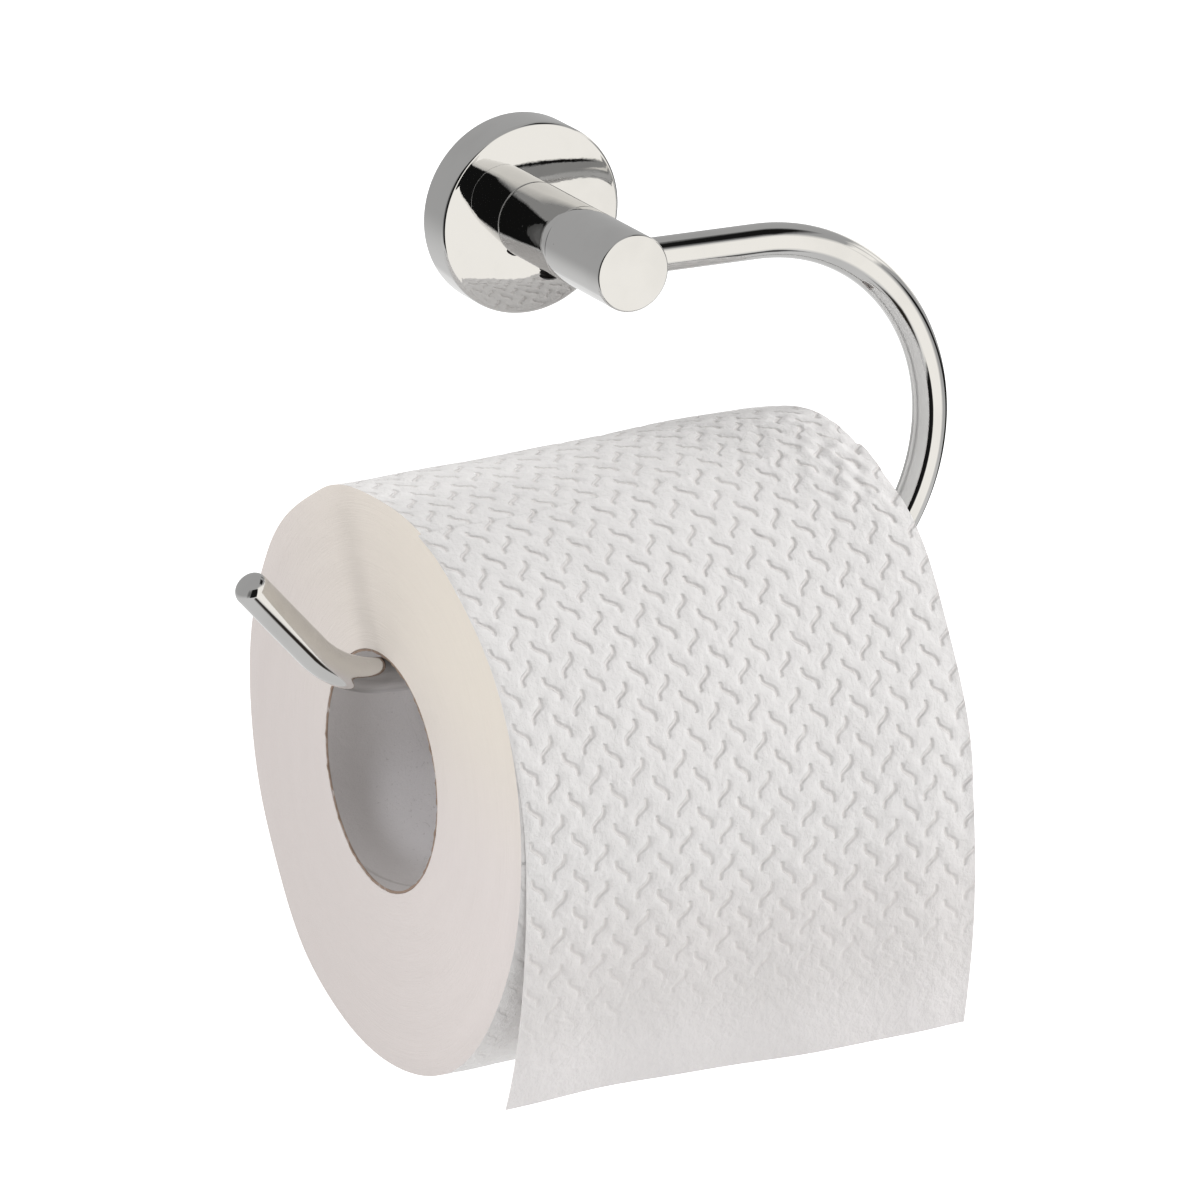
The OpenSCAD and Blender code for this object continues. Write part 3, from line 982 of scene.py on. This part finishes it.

# %% [markdown]
# Tissue is soft, matt and warm white. Its embossed dents have steep small walls, the sheet
# between them is a little crumpled, and loose fibres make the whole surface slightly fuzzy.
# The side faces show the cut edges of all the layers: fine rings, in a warmer tone. Light and
# shade are painted into the tone: painted light at the top of the side faces, painted shade
# towards their back and the floor and on the right one, painted shade at the top left of the
# outside, in the dents and down the sheet that hangs free, and painted light at its lower edge.

# %% Tissue
tissue, tree, shader = new_material("tissue", specular_ior_level=0.2, sheen_weight=0.08,
                                    sheen_roughness=0.6)
paper_map = split(tree, add_node(tree, "UVMap", uv_map="paper").outputs[0])
across, along = paper_map[0] * 100, paper_map[1] * 100
x, y, z = place_of(tree)
on_side = eased(along - 500)
outside = 1 - on_side
pressed = below_the_sheet(along) * PRESSED_FLAT
dents = use(tree, wavy_dents, Across=across, Along=along) * (1 - pressed)
fibres = use(tree, grain, PerMm=3.5)
crumple = use(tree, grain, PerMm=0.3)
y, z = y - ROLL_Y / MM, z - ROLL_Z / MM
rings = noise(tree, join(tree, root(y * y + z * z), y * 0.04, z * 0.04), 1.7, 3.0, 0.7)
# Painted light and shade on the side faces: lighter and warmer at the top, darker towards the back and
# the floor, and a darker neutral on the right side face.
CUT_WARM, CUT_LIT_TOP, CUT_SHADED_BACK = (0.82, 0.755, 0.735), (0.85, 0.783, 0.69), (0.69, 0.632, 0.615)
CUT_SHADED_RIGHT, WHITE_PAPER = (0.70, 0.705, 0.71), (0.805, 0.789, 0.780)
upper = blend(tree, eased((z + 12) / 45), CUT_WARM, CUT_LIT_TOP)
left_side = blend(tree, eased((y * 0.87 - z * 0.5) / 120 + 0.5), upper, CUT_SHADED_BACK)
both_sides = blend(tree, eased(x / 20), left_side, CUT_SHADED_RIGHT)
tone = blend(tree, on_side, WHITE_PAPER, both_sides)
# Painted light and shade on the outside: painted shade at the top left, down the sheet that hangs free
# and in the dents' floors, and painted light at the sheet's lower edge. The rings and fibres below are
# the paper's own.
painted_shade_top_left = eased((along + 6) / 10) * eased((50 - along) / 35) * eased((45 - x) / 110)
painted_shade_hanging = eased((along - 95) / 25)
painted_light_lower_edge = eased((along - 128) / 16)
for share_of, colour in ((painted_shade_top_left * outside, (0.72, 0.706, 0.698)),
                         (painted_shade_hanging * outside, (0.778, 0.752, 0.741)),
                         (painted_light_lower_edge * outside, (0.835, 0.806, 0.80)),
                         (dents * 0.14, (0.62, 0.52, 0.46)),
                         (rings * on_side * 0.25, (0.66, 0.60, 0.55)),
                         (fibres * 0.12, (0.62, 0.60, 0.585))):
    tone = blend(tree, share_of, tone, colour)
colour_from(tree, tone, shader)
feed(fibres * 0.15 + 0.82, shader.inputs["Roughness"])
relief(tree, shader, (crumple * outside, 0.7), (dents, -0.28), (rings * on_side, 0.12), (fibres, 0.05))
print("tissue", len(tree.nodes), "nodes")

# %% [markdown]
# ## Dressing the model
# Each new piece gets its finish, moves with one body of the model and stands for one of its
# solids. The three solids that are hidden inside keep their own shape and get a finish too.

# %% Dressing
def dress(piece, material, body, slot, *nodes):
    """Gives a piece its material, its body and the model's nodes it stands for; the slot is not used."""
    piece.data.materials.clear()
    piece.data.materials.append(material)
    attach(piece, body)
    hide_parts(*nodes)


dress(cup, chrome, "holder", "chrome", "flange_cover")
dress(sleeve, chrome, "holder", "chrome", "post_sleeve")
dress(head, chrome, "holder", "chrome", "post_head")
dress(rod, chrome, "holder", "chrome", "hanger_rod")
dress(screw, black_oxide, "holder", "black_steel", "set_screw")
dress(core, cardboard, "roll", "cardboard", "core_tube")
dress(wound, tissue, "roll", "paper", "paper_roll")
dress(sheet, tissue, "roll", "paper", "paper_tail")
for name, finish, slot in (("wall_bracket", cast_zinc, "bracket_zinc"),
                           ("head_screw", plated, "plated_steel"),
                           ("rod_lock_screw", black_oxide, "black_steel")):
    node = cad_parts[name]
    node.data.materials.clear()
    node.data.materials.append(finish)
print("every piece is dressed")

# %% [markdown]
# ## Stage and light
# The holder is shown on white. The floor is far below and pale, and the white of the picture
# comes from what the camera sees of the world, not from more light.

# %% Floor
FLOOR_Z, FLOOR_GLOW = -0.9, 0.8
floor = new_piece("floor", bpy.ops.mesh.primitive_plane_add, size=8, location=(0, 0, FLOOR_Z))
floor_white, tree, shader = new_material("floor_white", roughness=0.9)
shader.inputs["Base Color"].default_value = (0.9, 0.9, 0.9, 1)
shader.inputs["Emission Color"].default_value = (1, 1, 1, 1)
path = add_node(tree, "LightPath")
seen = most(Wire(tree, path.outputs["Is Camera Ray"]), Wire(tree, path.outputs["Is Glossy Ray"]))
feed(seen * FLOOR_GLOW, shader.inputs["Emission Strength"])
floor.data.materials.append(floor_white)
floor.visible_glossy = False
print("floor", FLOOR_Z, "m below the post")

# %% World
AMBIENT = 0.65
world = bpy.data.worlds.new("studio")
bpy.context.scene.world = world
world.use_nodes = True
tree = world.node_tree
path = add_node(tree, "LightPath")
by_camera, through, mirrored = [Wire(tree, path.outputs[kind]) for kind in
                                ("Is Camera Ray", "Is Transmission Ray", "Is Glossy Ray")]
seen = most(most(by_camera, through), mirrored)
tree.links.new(blend(tree, seen, grey(AMBIENT), grey(1.0)), tree.nodes["Background"].inputs["Color"])
tree.nodes["Background"].inputs["Strength"].default_value = 1.0
print("the world lights at", AMBIENT, "and is seen as 1")

# %% [markdown]
# Chrome has no colour of its own. It looks like metal only when it has something dark and
# something bright to mirror, so a product studio stands grey walls and black and white cards
# around it. Only reflections see them here: they throw no light and cast no shadow. Each one
# is placed by the direction in which it stands, as seen from the post.

# %% Cards that the chrome mirrors
soft_edge, (softness,) = new_group("soft_edge", Softness=0.1)
u, v, _ = split(soft_edge, add_node(soft_edge, "UVMap").outputs[0])
close_group(soft_edge, least(least(least(u, 1 - u), least(v, 1 - v)) / softness, 1.0))


def mirror_only(piece):
    """Lets only reflections see a piece of the studio."""
    piece.visible_camera = piece.visible_diffuse = piece.visible_transmission = False
    piece.visible_shadow = piece.visible_volume_scatter = False


def glowing(name):
    """A finish that gives its own even light and reflects none."""
    finish, tree, shader = new_material(name, roughness=1.0, emission_strength=1.0,
                                        specular_ior_level=0.0)
    shader.inputs["Base Color"].default_value = (0, 0, 0, 1)
    return finish, tree, shader


def card(name, azimuth, elevation, width, height, tilt, colour, soft, distance=1.2):
    """A card by its direction and angular size in degrees; azimuth 0 is the room, 90 the right."""
    axes = look_matrix(azimuth, elevation, tilt)
    bpy.ops.object.select_all(action="DESELECT")
    bpy.ops.mesh.primitive_plane_add(size=1, location=axes @ Vector((0, 0, distance)),
                                     rotation=axes.to_euler())
    piece = bpy.context.object
    piece.name = piece.data.name = name
    wide, high = [2 * distance * math.tan(math.radians(size / 2)) for size in (width, height)]
    piece.scale = (wide, high, 1)
    bpy.ops.object.transform_apply(location=True, rotation=True, scale=True)
    finish, tree, shader = glowing(name)
    shader.inputs["Emission Color"].default_value = (*colour, 1)
    feed(use(tree, soft_edge, Softness=soft), shader.inputs["Alpha"])
    piece.data.materials.append(finish)
    mirror_only(piece)


WARM_WHITE, BLACK = (1.30, 1.27, 1.21), grey(0.012)
card("white_panel", 30, -3, 80, 88, -6, WARM_WHITE, 0.2, 1.3)
card("dark_camera_side", -25, -1, 50, 63, 0, BLACK, 0.06)
card("grey_camera_side", -55, 0, 34, 64, 0, grey(0.2), 0.35, 1.25)
card("black_flag", 62, 52, 46, 30, 8, BLACK, 0.25)
card("white_strip_right", 76, 21, 30, 13, 8, WARM_WHITE, 0.25, 1.3)
card("white_strip_bent", 103, 18, 28, 15, -25, WARM_WHITE, 0.25, 1.3)
card("white_strip_behind", 128, 2, 30, 20, -20, WARM_WHITE, 0.25, 1.3)
card("black_strip_right", 90, -4, 44, 14, -40, BLACK, 0.16)
card("black_strip_behind", 114, -20, 42, 21, -15, BLACK, 0.2)
card("white_table", 163, -36, 34, 34, 0, grey(0.95), 0.15, 1.1)
card("dark_foot", -2, -43.5, 22, 18, 0, (0.03, 0.025, 0.02), 0.25, 1.25)
card("dark_foot_right", 46, -50, 16, 10, -25, grey(0.08), 0.3)
print("cards stand round the holder")

# %% [markdown]
# Where no card stands, the chrome would mirror plain white. A large grey ball round the whole
# studio gives it walls instead, a little lighter towards the floor.

# %% Grey walls round the studio
WALLS_R = 3.5
walls = new_piece("grey_walls", bpy.ops.mesh.primitive_uv_sphere_add, segments=48, ring_count=24,
                  radius=WALLS_R)
wall_grey, tree, shader = glowing("wall_grey")
height = split(tree, add_node(tree, "TexCoord").outputs["Object"])[2] / WALLS_R
wall_tone = blend(tree, eased(height * -2.2 - 0.25), grey(0.5), grey(0.78))
tree.links.new(wall_tone, shader.inputs["Emission Color"])
walls.data.materials.append(wall_grey)
mirror_only(walls)
print("walls stand", WALLS_R, "m away")

# %% [markdown]
# Three soft lamps light the paper. The strong one at the right shapes the front and throws the
# small shadows in the dents. A larger one behind at the left lights the side face from above,
# and a weak one low at the front left softens the shade there. The chrome doesn't mirror them,
# because the cards already give it what it mirrors.

# %% Lamps
LIT_POINT = Vector((0, 0, -0.1))


def area_lamp(name, place, size, power):
    """A soft square lamp at a place, turned to the middle of the holder."""
    data = bpy.data.lights.new(name, "AREA")
    data.shape, data.size, data.energy = "SQUARE", size, power
    lamp = bpy.data.objects.new(name, data)
    lamp.location = place
    lamp.rotation_euler = (LIT_POINT - Vector(place)).to_track_quat("-Z", "Y").to_euler()
    lamp.visible_glossy = False
    bpy.context.scene.collection.objects.link(lamp)


area_lamp("lamp_right", (1.42, -0.57, 0.58), 0.45, 16.4)
area_lamp("lamp_left", (-0.9, 0.9, 0.9), 0.9, 8.6)
area_lamp("lamp_side", (-1.12, -0.66, -0.35), 0.3, 1.8)
print("three soft lamps")

# %% Picture settings
bpy.context.scene.view_settings.view_transform = "Standard"
print("colours are shown as they are written")
